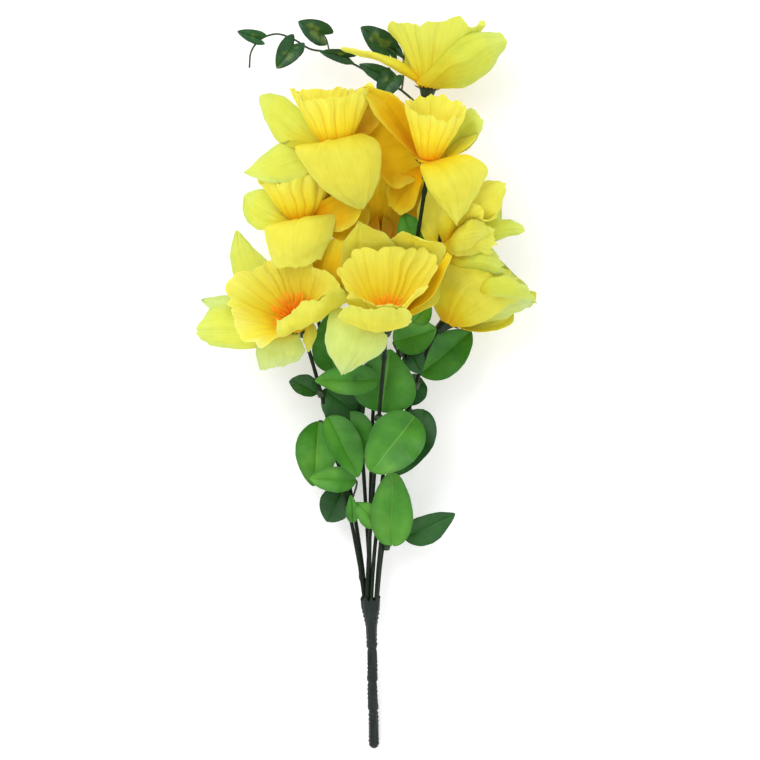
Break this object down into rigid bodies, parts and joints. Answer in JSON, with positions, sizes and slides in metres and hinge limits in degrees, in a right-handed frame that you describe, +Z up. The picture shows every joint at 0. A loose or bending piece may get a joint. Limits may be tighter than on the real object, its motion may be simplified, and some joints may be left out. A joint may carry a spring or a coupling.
{
  "type": "artificial daffodil bunch",
  "caption": "Bunch of fabric daffodils on wire stems with leaf sprigs and a small vine, joined in one moulded handle and lying on a table.",
  "frame": {"origin": "on the table, under the middle of the bunch's bounding box", "axes": "+Y along the bunch from the handle's tip to the blooms, +X to the right, +Z up from the table"},
  "size_m": [0.2056, 0.4456, 0.1326],
  "materials": {
    "petal": "matte",
    "corona": "matte",
    "stamen": "matte",
    "calyx": "satin",
    "stem": "satin",
    "leaf": "matte",
    "vine": "glossy",
    "handle": "satin"
  },
  "bodies": {
    "root": {"petals_top": "petal", "corona_top": "corona", "stamens_top": "stamen", "calyx_top": "calyx", "stem_top": "stem", "petals_upper_left": "petal", "corona_upper_left": "corona", "stamens_upper_left": "stamen", "calyx_upper_left": "calyx", "stem_upper_left": "stem", "petals_upper_right": "petal", "corona_upper_right": "corona", "stamens_upper_right": "stamen", "calyx_upper_right": "calyx", "stem_upper_right": "stem", "petals_middle_left": "petal", "corona_middle_left": "corona", "stamens_middle_left": "stamen", "calyx_middle_left": "calyx", "stem_middle_left": "stem", "petals_lower_left": "petal", "corona_lower_left": "corona", "stamens_lower_left": "stamen", "calyx_lower_left": "calyx", "stem_lower_left": "stem", "petals_lower_middle": "petal", "corona_lower_middle": "corona", "stamens_lower_middle": "stamen", "calyx_lower_middle": "calyx", "stem_lower_middle": "stem", "petals_lower_right": "petal", "corona_lower_right": "corona", "stamens_lower_right": "stamen", "calyx_lower_right": "calyx", "stem_lower_right": "stem", "petals_middle_right": "petal", "corona_middle_right": "corona", "stamens_middle_right": "stamen", "calyx_middle_right": "calyx", "stem_middle_right": "stem", "petals_back": "petal", "corona_back": "corona", "stamens_back": "stamen", "calyx_back": "calyx", "stem_back": "stem", "leaves_low_right": "leaf", "leaves_right": "leaf", "leaves_upper_right": "leaf", "leaves_middle_right": "leaf", "leaves_middle": "leaf", "leaves_left": "leaf", "leaves_upper_left": "leaf", "leaves_inner_left": "leaf", "leaves_inner_low": "leaf", "leaves_low_left": "leaf", "leaves_top": "leaf", "vine": "vine", "handle": "handle"}
  },
  "joints": []
}
